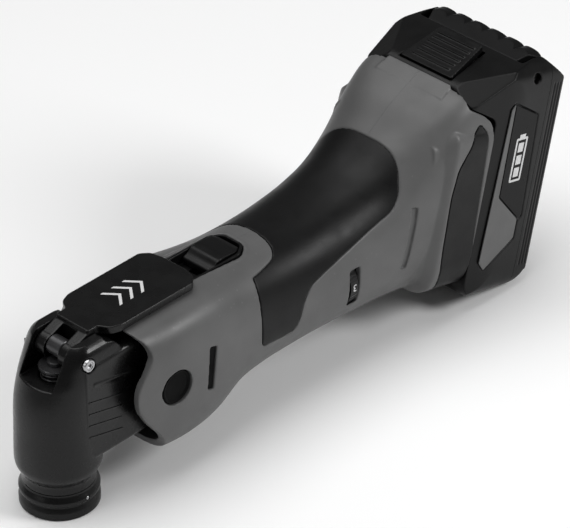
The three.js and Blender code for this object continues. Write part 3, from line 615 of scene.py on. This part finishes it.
def housing_shell():
    """Both halves of the housing in one body, before they are parted."""
    outer = join(body_form(0, BODY_SPAN), flange_form(0))
    shell = cut(outer, body_form(WALL, (5, 268)), flange_form(WALL))
    step = prism("yz", STEP_SIDE, (-FAR, FAR))
    step = common(step, prism("xz", mirrored(STEP_FRONT), (200, 240)))
    rim = common(prism("xy", well_outline(2.4), (76, 90), 3), body_form(-0.4, (60, 120)))
    front = prism("yz", SHROUD_EDGE + [(-40, 10), (-40, 84)], (-FAR, FAR), 4)
    behind = leaned(box((-FAR, FAR), (0, FAR), (-FAR, FAR)))
    half, towards = TOWER["half"] + 0.6, TOWER["front"] - 0.6
    tower = leaned(box((-half, half), (towards, FAR), (20, FAR)))
    hood = leaned(prism("yz", HOOD_EDGE, (-FAR, FAR), 1.5))
    shell = cut(join(shell, step, rim), front, behind)
    for y, z in BOSSES:
        shell = join(shell, common(rod("x", 5, (-27, 27), y, z), body_form(1, BODY_SPAN)))
    window = prism("xy", well_outline(1), (70, 90), 2)
    dial_window = prism("yz", [(152.3, 36.5), (158.5, 36.5), (158.5, 56), (152.3, 56)], (20, 40), 1)
    wheel = (DIAL["y"] - DIAL["width"] / 2 - SLACK, DIAL["y"] + DIAL["width"] / 2 + SLACK)
    wheel_room = rod("y", DIAL["radius"] + SLACK, wheel, DIAL["x"], DIAL["z"])
    recess = cut(grip_region(0), body_form(SKIN + GAP, (60, 220)))
    shell = cut(shell, tower, hood, recess, window, dial_window, wheel_room)
    for side in (1, -1):
        bumper = cut(prism("yz", BUMPER_EDGE, (20, FAR), 3), rear_form(SKIN + GAP))
        socket = rod("x", SOCKET["radius"] + GAP, (20, 40), SOCKET["y"], SOCKET["z"])
        slot = prism("yz", SIDE_SLOT, (20, 40), 0.6)
        within = body_form(1.4, (REAR_START, BODY_SPAN[1]))
        groove = cut(prism("yz", SIDE_GROOVE, (20, 45), 1), within)
        tools = [bumper, socket, slot, groove]
        shell = cut(shell, *[mirror_x(tool) if side < 0 else tool for tool in tools])
    return shell


def add_housing():
    shell = soften(housing_shell(), VOXEL["shell"])
    screws = [rod("x", 1.5, (-25, 16), y, z) for y, z in BOSSES]
    heads = [rod("x", 3.5, (-50, BOSS_SEAT), y, z) for y, z in BOSSES]
    left = common(copy(shell), box((SEAM, 60), (-FAR, FAR), (-FAR, FAR)))
    right = common(shell, box((-60, -SEAM), (-FAR, FAR), (-FAR, FAR)))
    left = cut(left, *[copy(screw) for screw in screws])
    right = cut(right, *screws, *heads)
    keep("housing_shell_left", left, "tool", ["housing_left"], "grey")
    keep("housing_shell_right", right, "tool", ["housing_right"], "grey")
    # A matte black fill in each side slot: painted shade, standing in for the dark inside the vent.
    for name, span in zip(("left", "right"), both_sides((26.5, 29.2))):
        slot_shade_fill = soften(prism("yz", inset(SIDE_SLOT, 0.08), span, 0.6), VOXEL["slot_shade_fill"], 2)
        keep("painted_shade_slot_" + name, slot_shade_fill, "tool", [], "matte")


def add_rubber():
    skin = cut(body_form(0, (60, 210)), body_form(SKIN, (50, 220)))
    grip = soften(common(skin, grip_region(GAP * 0.6)), VOXEL["grip"])
    keep("grip_overmould", grip, "tool", ["rubber_grip"], "rubber")
    for name, side in (("left", 1), ("right", -1)):
        behind = leaned(box((-FAR, FAR), (-GAP, FAR), (-FAR, FAR)))
        skin = cut(rear_form(0), rear_form(SKIN), behind)
        pad = common(skin, prism("yz", inset(BUMPER_EDGE, GAP * 0.6), (20, FAR), 3))
        pad = soften(mirror_x(pad) if side < 0 else pad, VOXEL["pad"])
        keep("collar_pad_" + name, pad, "tool", ["side_bumper_" + name], "rubber")


def add_plugs_and_screws():
    for name, side in (("left", 1), ("right", -1)):
        radius, y, z = SOCKET["radius"], SOCKET["y"], SOCKET["z"]
        rim = [
            (0.05, 28.8), (radius - 1.6, 28.8), (radius - 1.2, 29.2), (radius - 0.4, 29.3),
            (radius, 28.9), (radius, 25), (radius + 1.8, 25), (radius + 1.8, 22.8), (0.05, 22.8),
        ]
        plug = turned(rim, "x", (0, y, z))
        plug = mirror_x(plug) if side < 0 else plug
        keep("side_plug_" + name, plug, "tool", ["socket_plug_" + name], "matte")
    for i, (y, z) in enumerate(BOSSES):
        seat = BOSS_SEAT - GAP
        shank = [(0.2, 13), (1.2, 13), (1.2, seat), (3.1, seat)]
        crown = [(3.2, seat - 1.8), (2.7, seat - 2.5), (0.2, seat - 2.6)]
        screw = turned(shank + crown, "x", (0, y, z), 48)
        screw = cut(screw, rod("x", 1.4, (seat - 4, seat - 1.2), y, z, 6))
        keep("case_screw_%d" % (i + 1), screw, "tool", ["housing_screw_%d" % (i + 1)], "steel")


# ---------- gear head and lever ----------
def column_form(sides=144):
    """The head's round column, with the cheeks' straight back above it."""
    rings = []
    for z in np.concatenate([np.linspace(12.5, 20, 16), np.linspace(21, 84.3, 60)]):
        half, middle, reach = smooth_rows(COLUMN, z)
        ring = []
        for angle in np.linspace(0, 2 * math.pi, sides, endpoint=False):
            c, s = math.cos(angle), math.sin(angle)
            if s > 0 and z > 60:
                across = math.copysign(abs(c) ** 0.12, c)
                depth = (HEAD["cheek_back"] - middle) * s ** 0.12
            else:
                across, depth = c, reach * s
            ring.append((half * across, middle + depth, z))
        rings.append(ring)
    return tube(rings)


def head_ledge(side):
    """The ledge across a cheek: proud along its top edge and fading into the wall below."""
    half = HEAD["half"]
    section = [
        (half - 3, 67.4), (half + 0.3, 67.4), (half + 0.5, 66.8),
        (half - 0.4, 63.6), (half - 3, 63.6),
    ]
    ends = ((4.4, 0), (28.8, -5.1))
    return tube([[(side * x, y, z + drop) for x, z in section] for y, drop in ends])


def head_rib(side, i):
    """One of the four raised lines on a side of the head."""
    half = HEAD["half"]
    drop = 59 - 6.05 * i
    corners = [(1, drop), (1, drop - 0.55), (20.5, drop - 5.35), (20.5, drop - 4.8)]
    return prism("yz", corners, sorted((side * (half - 2), side * (half + 0.3))))


def add_gear_head():
    half, top, inner = HEAD["half"], HEAD["top"], HEAD["cheek_inner"]
    rear = prism("xz", mirrored([(half, HEAD["box_bottom"]), (half, top)]), (0, 57), 3)
    notch = [(14.4, 90), (14.4, 82.6), (18.6, 81.4), (22.6, top), (70, top), (70, 90)]
    head = cut(join(column_form(), rear), prism("yz", notch, (-FAR, FAR), 1.2))
    rear_end = box((-FAR, FAR), (24, FAR), (-FAR, FAR))
    slim = body_form(WALL + 0.4, (5, 70))
    tail = common(copy(head), copy(rear_end), copy(slim))
    flange = common(prism("xz", mirrored([(22, 30), (22, 70)]), (56.9, 63), 6), slim)
    head = join(cut(head, rear_end), tail, flange)
    fork = prism("xy", mirrored([(inner, -30), (inner, FORK["back"])]), (FORK["floor"], 100), 1.5)
    head = cut(
        head,
        rod("z", 13.3, (16.5, 60.3), 0, 0),
        box((-16.3, 16.3), (0, 57), (40, 60.2)),
        rod("z", 8.4, (HEAD["bottom"] - 5, 20), 0, 0),
        rod("z", 5.5, (50, 70), 0, 0),
        rod("z", 7.2, (FORK["seat"], 70), 0, 0),
        rod("y", 8.8, (50, 70), 0, MOTOR_Z),
        fork,
        box((-inner, inner), (FORK["back"] - 2, 30), (top, 100)),
        rod("x", PIVOT["pin"] + GAP, (-30, 30), PIVOT["y"], PIVOT["z"]),
    )
    head = soften(join(head, head_ledge(1), head_ledge(-1)), VOXEL["head"], 3)
    head = join(head, *[head_rib(side, i) for side in (1, -1) for i in range(4)])
    keep("head_casting", head, "tool", ["gear_head"], "coated")


def lever_body():
    bottom, top = LEVER["bottom"], LEVER["top"]
    half, outer, inner = LEVER["half"], LEVER["arm_outer"], LEVER["arm_inner"]
    plan = [(outer, 10), (outer, 16), (14.6, 18.8), (half, 24), (half, 66.6), (13, 70.6), (6, 72)]
    plate = prism("xy", mirrored(plan), (bottom, top), 1.5)
    hub = rod("x", PIVOT["hub"], (-outer, outer), PIVOT["y"], PIVOT["z"])
    side = [
        (3, 82.6), (9.5, 85.2), (16, top), (26, top), (26, bottom),
        (19.5, bottom), (16.5, 77.8), (10, 77.3), (6, 75.2), (3, 74),
    ]
    arms = join(prism("yz", side, (-outer, outer)), hub)
    between = box((-inner, inner), (-20, 9.5), (60, 100))
    above = [(-10, 82.6), (3, 82.6), (9.5, 85.2), (16, 100), (-10, 100)]
    over = prism("yz", above, (-outer, outer))
    pin = rod("x", PIVOT["pin"] + GAP, (-30, 30), PIVOT["y"], PIVOT["z"])
    return cut(join(plate, arms), between, over, pin)


def add_lever():
    keep("lever", soften(lever_body(), VOXEL["lever"], 4), "lever", ["clamp_lever"], "coated")
    top = LEVER["top"]
    arrows = []
    for i in range(3):
        y = 33 + 6.5 * i
        arrow = [(-6, y), (0, y + 5), (6, y), (6, y + 1.7), (0, y + 6.7), (-6, y + 1.7)]
        arrows.append(prism("xy", arrow, (top - 0.4, top + 0.05)))
    keep("lever_arrows", join(arrows[0], *arrows[1:]), "lever", [], "white")
    y, z = PIVOT["y"], PIVOT["z"] + 1.2
    end = LEVER["arm_inner"] - 0.3
    profile = [
        (3.6, -end), (4.1, -end), (4.4, -end + 0.3), (4.4, end - 0.3), (4.1, end), (3.6, end),
    ]
    roller = turned(profile, "x", (0, y, z))
    keep("cam_roller", roller, "lever", ["lever_cam"], "dark_steel")
    z = PIVOT["z"]
    profile = [(0.2, -17.2), (2.6, -17.2), (3, -16.8), (3, 16.6), (0.2, 16.6)]
    keep("pivot_pin", turned(profile, "x", (0, y, z), 64), "tool", ["lever_pin"], "steel")
    profile = [(0.2, 16.9), (3, 16.9), (3, 18), (2.7, 18.4), (2, 18.4), (1.8, 18.1), (0.2, 18.1)]
    screw = cut(turned(profile, "x", (0, y, z), 64), rod("x", 1.3, (17.5, 20), y, z, 6))
    keep("pivot_screw", screw, "tool", ["lever_pin_screw"], "steel")


# ---------- tool holder and clamp ----------
def add_holder():
    rim = [
        (7.3, 5.8), (11, 5.8), (14.4, 0.2), (14.8, 0), (17.4, 0),
        (17.85, 0.45), (17.85, 3.5), (17.7, 3.8),
    ]
    band = [
        (17.1, 5.7), (16.9, 6), (16.9, 6.5), (17.2, 6.9),
        (17.7, 7.3), (17.8, 7.7), (17.8, 8.9), (17.6, 9.3),
    ]
    neck = [(16.6, 10.9), (16.3, 11.4), (16.2, 12.2), (5.4, 12.2), (5.4, 5.8)]
    holder = turned(rim + band + neck, sides=160)
    hole = rod("x", 1.1, (17.1, 20), 0, 8.4, 24)
    keep("accessory_seat", cut(holder, hole), "spindle", ["tool_holder"], "coated")
    end = [(0.1, 16.9), (0.9, 16.9), (0.9, 17.4), (0.7, 17.6), (0.1, 17.6)]
    keep("holder_pin", turned(end, "x", (0, 0, 8.4), 24), "spindle", [], "steel")
    shaft = [
        (0.2, 0), (5.9, 0), (6.4, 0.5), (6.4, 4), (6, 4.4),
        (4.6, 4.4), (4.6, 69.2), (7, 69.2), (7.4, 69.6),
    ]
    button = [(7.4, 70.6), (7, 71), (3.6, 71), (3.6, 72.8), (3.2, 73.2), (0.2, 73.2)]
    keep("plunger", turned(shaft + button), "clamp", ["clamp_plunger"], "dark_steel")
    spring = coil(6.2, 0.5, (FORK["seat"] + GAP, 68.9), 2)
    keep("return_spring", spring, "clamp", ["clamp_spring"], "dark_steel")


# ---------- switch and dial ----------
def add_controls():
    front, back, half, floor = SWITCH["front"], SWITCH["back"], SWITCH["half"], SWITCH["floor"]
    outer = mirrored([(half + 0.6, front + 0.4), (half + 0.6, back - 6.4), (5.8, back - 0.4)])
    inner = mirrored([(half - 0.6, front + 1.6), (half - 0.6, back - 7), (5.2, back - 1.6)])
    tray = prism("xy", outer, (floor - 2, 81.6), 2)
    tray = cut(tray, prism("xy", inner, (floor, 90), 2), box((-2.4, 2.4), (83, 100), (70, 90)))
    keep("slider_tray", soften(tray, VOXEL["small"]), "tool", ["switch_tray"], "black")
    side = [
        (85, 76.4), (106, 76.4), (106, 81.2), (103.5, 82.2),
        (95, 82.9), (90.5, 82.6), (88, 80.4), (85, 79.6),
    ]
    thumb = common(prism("yz", side, (-8.3, 8.3), 1.2), prism("xy", inset(inner, 0.4), (70, 90), 2))
    thumb = join(thumb, box((-1.9, 1.9), (92, 98.6), (73.2, 78)))
    keep("slider", soften(thumb, VOXEL["small"], 6), "switch", ["slide_switch"], "black")
    span = (DIAL["y"] - DIAL["width"] / 2, DIAL["y"] + DIAL["width"] / 2)
    wheel = rod("y", DIAL["radius"], span, DIAL["x"], DIAL["z"], 120)
    notches = [rod("y", 2.8, (150, 160), DIAL["x"], DIAL["z"])]
    for i in range(48):
        if i % 8 in (0, 1, 7):
            continue
        angle = 2 * math.pi * i / 48
        x = DIAL["x"] + (DIAL["radius"] + 0.3) * math.cos(angle)
        z = DIAL["z"] + (DIAL["radius"] + 0.3) * math.sin(angle)
        notches.append(rod("y", 0.65, (span[0] - 1, span[1] + 1), x, z, 12))
    keep("thumbwheel", cut(wheel, *notches), "dial", ["speed_dial"], "black")
    facing_out = Matrix(((0, 0, 1, 0), (-1, 0, 0, 0), (0, -1, 0, 0), (0, 0, 0, 1)))
    for i in range(6):
        digit = moved(lettering(str(i + 1), 5, 0.3), facing_out)
        digit = moved(digit, Matrix.Translation((DIAL["radius"] - 0.02, 0, 0)))
        digit = moved(digit, Matrix.Rotation(math.radians(60 * (2 - i)), 4, "Y"))
        digit = moved(digit, Matrix.Translation((DIAL["x"], DIAL["y"], DIAL["z"])))
        keep("dial_digit_%d" % (i + 1), digit, "dial", [], "white")


# ---------- battery, in its own leaning frame ----------
CASE_SIDE = [
    (0.3, 15), (4, 9.4), (31.8, 6.9), (43.3, 18.6), (43.3, 113.2), (28.6, 124.8), (12, 121.8),
    (-12, 114.6), (-15.7, 112), (-15.7, 106.6), (-7.8, 103.2), (0.3, 99.4),
]
CASE_INNER = [
    (3, 17.3), (31.2, 13.4), (40.6, 20.6), (40.6, 111.8), (29.3, 115.5), (18, 115.5), (3, 108.4),
]
CASE_INNER_FRONT = [(27, 9.5), (33.5, 14), (34.4, 20), (34.4, 107), (32.5, 113.5), (0, 117)]
CASE_PLAN = [(32.4, -16), (36.7, 8), (PACK_HALF, 14), (PACK_HALF, 41.8), (36, 43.5)]
CASE_FRONT = [
    (30, 6.6), (36.6, 12), (PACK_HALF, 18), (PACK_HALF, 111), (37, 117.6), (33.8, 122.2),
    (30.5, 124.6), (0, 125),
]
STRIPE = [(7.8, 103.6), (10, 106), (10.6, 59.4), (27.4, 45.4), (27.4, 36), (9.4, 23.4), (5.4, 27.6)]
PANEL = [(10.5, 105.6), (27.4, 97.6), (30, 47), (28.2, 45.6), (11.1, 59.9)]
LABELS = [
    (7.4, 104.2), (10.2, 107), (28, 98.2), (30.6, 46.4), (28, 44.6), (28, 35.4), (9, 22.6),
    (4.9, 27.4),
]
LATCH = {
    "v": -1.15, "u": 119.4, "tilt": math.radians(24.6),
    "length": 25.0, "front": 15.3, "rear": 12.6,
}
BLADES = (-16, -6, 6, 16)  # x of each contact slot
REAR_RIBS = (35.6, 37.6, 39.6)  # where the grooves down the side walls start
CASE_SCREW = (22.7, 116.2)


def on_latch(obj):
    """From the latch's own tilted frame into the battery's."""
    place = Matrix.Translation((0, LATCH["v"], LATCH["u"])) @ Matrix.Rotation(LATCH["tilt"], 4, "X")
    return moved(obj, place)


def latch_prism(grow, span):
    """The latch's outline, grown, run up its own axis."""
    end = LATCH["length"] / 2 + grow
    plan = [(LATCH["front"] + grow, -end), (LATCH["rear"] + grow, end)]
    return on_latch(prism("xy", mirrored(plan), span, 1.2))


def hood_slope(side):
    """What is cut from the hood to slope its shoulder, under a ridge that rises to the rear."""
    rings = []
    for v in (-22, 14):
        x, u = 32.5 + (v + 16) * 0.17, 106 + (v + 16) * 0.54
        ring = [(10, u - 5.2), (10, 150), (-20, 150), (-20, u + 10.4)]
        rings.append([(side * (x + out), v, up) for out, up in ring])
    return tube(rings)


def side_details(side):
    """What is cut into one side wall of the battery."""
    half = PACK_HALF

    def span(depth):
        return sorted((side * (half - depth), side * 50))

    tools = [prism("yz", LABELS, span(0.9), 0.8), rod("x", 2.5, span(3.6), *CASE_SCREW, 40)]
    for v in REAR_RIBS:
        tools.append(prism("yz", [(v, 112), (v, 20), (v + 0.7, 20), (v + 0.7, 112)], span(0.6)))
    line = [(side * 16.5, 9), (side * 17, 9), (side * 21, -15), (side * 20.5, -15)]
    above = prism("yz", [(-15, 113.2), (9, 120.3), (9, 130), (-15, 130)], (-FAR, FAR))
    tools.append(common(prism("xy", line, (100, 130)), above))
    tools.append(hood_slope(side))
    return tools


def charge_mark(span):
    """A plain battery pictogram with three bars."""
    bottom, top, left, right = 66.0, 88.0, 15.5, 23.5
    frame_outer = prism("yz", [(left, bottom), (right, bottom), (right, top), (left, top)], span, 1)
    hollow = inset([(left, bottom), (right, bottom), (right, top), (left, top)], 1.1)
    frame_inner = prism("yz", hollow, (span[0] - 1, span[1] + 1))
    low, high = top - 0.1, top + 1.6
    stub = [(17.5, low), (21.5, low), (21.5, high), (17.5, high)]
    mark = join(
        cut(frame_outer, frame_inner),
        prism("yz", stub, span),
    )
    bars = []
    for i in range(3):
        low = bottom + 2.4 + 6.2 * i
        near, far, high = left + 2.2, right - 2.2, low + 4.6
        bars.append(prism("yz", [(near, low), (far, low), (far, high), (near, high)], span))
    return join(mark, *bars)


def add_battery_case():
    form = prism("yz", CASE_SIDE, (-PACK_HALF, PACK_HALF), 3)
    form = common(form, prism("xy", mirrored(CASE_PLAN), (0, 140), 4))
    block = common(form, prism("xz", mirrored(CASE_FRONT), (-30, 60), 4))
    cavity = prism("yz", CASE_INNER, (-PACK_HALF, PACK_HALF), 2)
    cavity = common(cavity, prism("xz", mirrored(CASE_INNER_FRONT), (0, 50), 2))
    block = cut(block, cavity, box((-31.1, 31.1), (16.9, 31.8), (118.3, 130)))
    tower, front = TOWER["half"], TOWER["front"]
    block = join(block, box((-tower, tower), (front, 1), (22, 104.5)))
    tools = [box(span, (-10, -6), (0, 101)) for span in both_sides((21.2, 30))]
    tools.append(box((-20.4, 20.4), (-12.6, 3.4), (25, 96)))
    tools += [box((x - 0.9, x + 0.9), (-20, -4), (10, 66)) for x in BLADES]
    tools.append(latch_prism(0.6, (-9, 10)))
    block = cut(block, *tools, *side_details(1), *side_details(-1))
    block = soften(block, VOXEL["pack"], 3)
    split = PACK_SPLIT
    front_part = common(copy(block), box((-FAR, FAR), (-FAR, split - 0.1), (-FAR, FAR)))
    rear_part = common(block, box((-FAR, FAR), (split + 0.1, FAR), (-FAR, FAR)))
    keep("pack_front", leaned(front_part), "battery", ["battery_case"], "black")
    keep("pack_rear", leaned(rear_part), "battery", ["battery_cover"], "black")
    for name, edge, finish in (("stripe", STRIPE, "grey"), ("panel", PANEL, "panel")):
        for side, span in zip(("left", "right"), both_sides((PACK_HALF - 0.6, PACK_HALF - 0.05))):
            plate = leaned(soften(prism("yz", edge, span, 0.5), VOXEL["plate"], 2))
            node = "battery_%s_%s" % (name, side)
            keep("pack_%s_%s" % (name, side), plate, "battery", [node], finish)
    for side, span in zip(("left", "right"), both_sides((PACK_HALF - 0.3, PACK_HALF - 0.01))):
        keep("charge_mark_" + side, leaned(charge_mark(span)), "battery", [], "white")


def add_battery_top():
    bumps, side, valley, rise, crown = 6, 30.5, 123.6, 1.6, 1.4
    width = 2 * side / bumps
    corners = [(side, 118.6)]
    for i in range(bumps):
        x = side - width * i
        for step in range(9):
            t = step / 8
            across = x - width * t
            arch = crown * (1 - (across / side) ** 2) + rise * math.sin(math.pi * t) ** 0.6
            corners.append((across, valley + arch))
    corners.append((-side, 118.6))
    slope = [(17.4, 118), (17.4, 121.8), (28, 127.2), (30.4, 125), (31.2, 118)]
    wedge = prism("yz", slope, (-FAR, FAR), 0.8)
    taper = prism("xy", mirrored([(26.6, 17.2), (side, 27.5), (side, 31.5)]), (110, 130))
    pad = soften(common(prism("xz", corners, (15, 33)), wedge, taper), VOXEL["small"], 4)
    keep("top_pad", leaned(pad), "battery", ["battery_bumper"], "rubber")
    plate = latch_prism(0, (-2.4, 0.6))
    ribs = [on_latch(box((-11, 11), (-9 + 3.4 * i, -7.6 + 3.4 * i), (0, 1.2))) for i in range(6)]
    latch = soften(join(plate, *ribs), VOXEL["latch"], 3)
    keep("release_latch", leaned(latch), "latch", ["battery_latch"], "black")
    spring = leaned(on_latch(coil(4, 0.5, (-8.4, -2.8), 3)))
    keep("latch_return_spring", spring, "latch", ["latch_spring"], "steel")


# ---------- floor, light and camera ----------
FLOOR_SIZE = 14
FLOOR_Z = -0.0001
FLOOR_GREY = 0.93
WORLD_STRENGTH = 0.16
# Each lamp: its place from the model's middle, its size, and its power in watts.
LAMPS = {
    "top": ((-0.3, -0.1, 1.4), 1.3, 16),
    "key": ((0.92, 0.56, 0.72), 0.45, 9),
    "front": ((-0.3, -1.4, 0.8), 0.6, 3),
}
CAMERA_PLACE = (1.1398, -1.0556, 1.1837)
CAMERA_FACING = (-0.569, 0.5975, -0.565)
CAMERA_LENS = 284.2


def add_stage():
    bpy.ops.mesh.primitive_plane_add(size=FLOOR_SIZE, location=(0, 0, FLOOR_Z))
    floor = bpy.context.object
    floor.name = "floor"
    material, _ = shader("pale_floor", (FLOOR_GREY,) * 3, 0.8, shine=0.1)
    floor.data.materials.append(material)
    middle = Vector((np.array(cad_box[0]) + np.array(cad_box[1])) / 2)

    for name, (place, size, power) in LAMPS.items():
        light = bpy.data.lights.new(name, "AREA")
        light.shape = "RECTANGLE"
        light.size = light.size_y = size
        light.energy = power
        holder = bpy.data.objects.new(name, light)
        holder.location = middle + Vector(place)
        holder.rotation_euler = (-Vector(place)).to_track_quat("-Z", "Y").to_euler()
        bpy.context.scene.collection.objects.link(holder)

    world = bpy.data.worlds.new("studio")
    world.use_nodes = True
    background = world.node_tree.nodes["Background"]
    background.inputs["Color"].default_value = (1, 1, 1, 1)
    background.inputs["Strength"].default_value = WORLD_STRENGTH
    scene = bpy.context.scene
    scene.world = world
    scene.view_settings.view_transform = "Standard"
    camera = bpy.data.cameras.new("camera")
    camera.sensor_width = 36
    camera.lens = CAMERA_LENS
    camera.clip_end = 50
    holder = bpy.data.objects.new("camera", camera)
    holder.location = CAMERA_PLACE
    holder.rotation_euler = Vector(CAMERA_FACING).to_track_quat("-Z", "Y").to_euler()
    scene.collection.objects.link(holder)
    scene.camera = holder


add_housing()
add_rubber()
add_plugs_and_screws()
add_gear_head()
add_lever()
add_holder()
add_controls()
add_battery_case()
add_battery_top()
add_stage()
